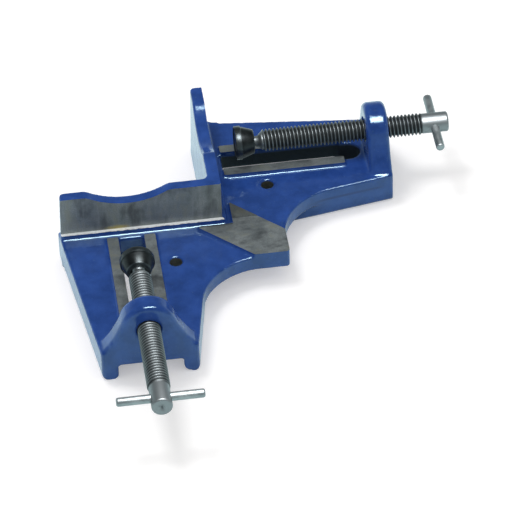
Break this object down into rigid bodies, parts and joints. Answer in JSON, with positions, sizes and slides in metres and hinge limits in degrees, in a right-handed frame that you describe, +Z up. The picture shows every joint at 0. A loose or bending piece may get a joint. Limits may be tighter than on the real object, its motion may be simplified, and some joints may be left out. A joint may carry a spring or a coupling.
{
  "type": "corner clamp",
  "caption": "Cast-iron corner clamp: an L-shaped body with ground fences and screw-driven swivel shoes that hold a mitred joint square.",
  "frame": {"origin": "on the bench plane, under the corner where the two ground fence faces meet", "axes": "+Z up from the bench; fence 1's ground face looks along -Y and arm 1 lies along -Y; fence 2's ground face looks along +X and arm 2 lies along +X"},
  "size_m": [0.2293, 0.2561, 0.0477],
  "materials": {
    "blue_casting": "glossy royal-blue enamel on cast iron, with ground steel-grey working faces",
    "screw_steel": "bright rolled thread",
    "shoe_steel": "black oxide, slightly glossy",
    "bar_steel": "bright drawn rod"
  },
  "bodies": {
    "casting": {"clamp_casting": "blue_casting"},
    "swivel_shoe_1": {"shoe_1": "shoe_steel"},
    "swivel_shoe_2": {"shoe_2": "shoe_steel"},
    "spindle_1": {"screw_1": "screw_steel", "tommy_bar_1": "bar_steel"},
    "spindle_2": {"screw_2": "screw_steel", "tommy_bar_2": "bar_steel"}
  },
  "joints": [
    {"name": "shoe_1_travel", "type": "slide", "parent": "casting", "child": "swivel_shoe_1", "axis": [0, 1, 0], "range_m": [-0.0362, 0.04085]},
    {"name": "screw_1_turn", "type": "hinge", "parent": "swivel_shoe_1", "child": "spindle_1", "pos_m": [-0.0523, -0.0409, 0.032], "axis": [0, 1, 0], "range_deg": [-6157, 6948]},
    {"name": "shoe_2_travel", "type": "slide", "parent": "casting", "child": "swivel_shoe_2", "axis": [-1, 0, 0], "range_m": [-0.063, 0.01405]},
    {"name": "screw_2_turn", "type": "hinge", "parent": "swivel_shoe_2", "child": "spindle_2", "pos_m": [0.0141, 0.0523, 0.032], "axis": [-1, 0, 0], "range_deg": [-10715, 2390]}
  ],
  "couplings": [
    {"joint": "screw_1_turn", "follows": "shoe_1_travel", "rad_per_m": 2968.4},
    {"joint": "screw_2_turn", "follows": "shoe_2_travel", "rad_per_m": 2968.4}
  ]
}
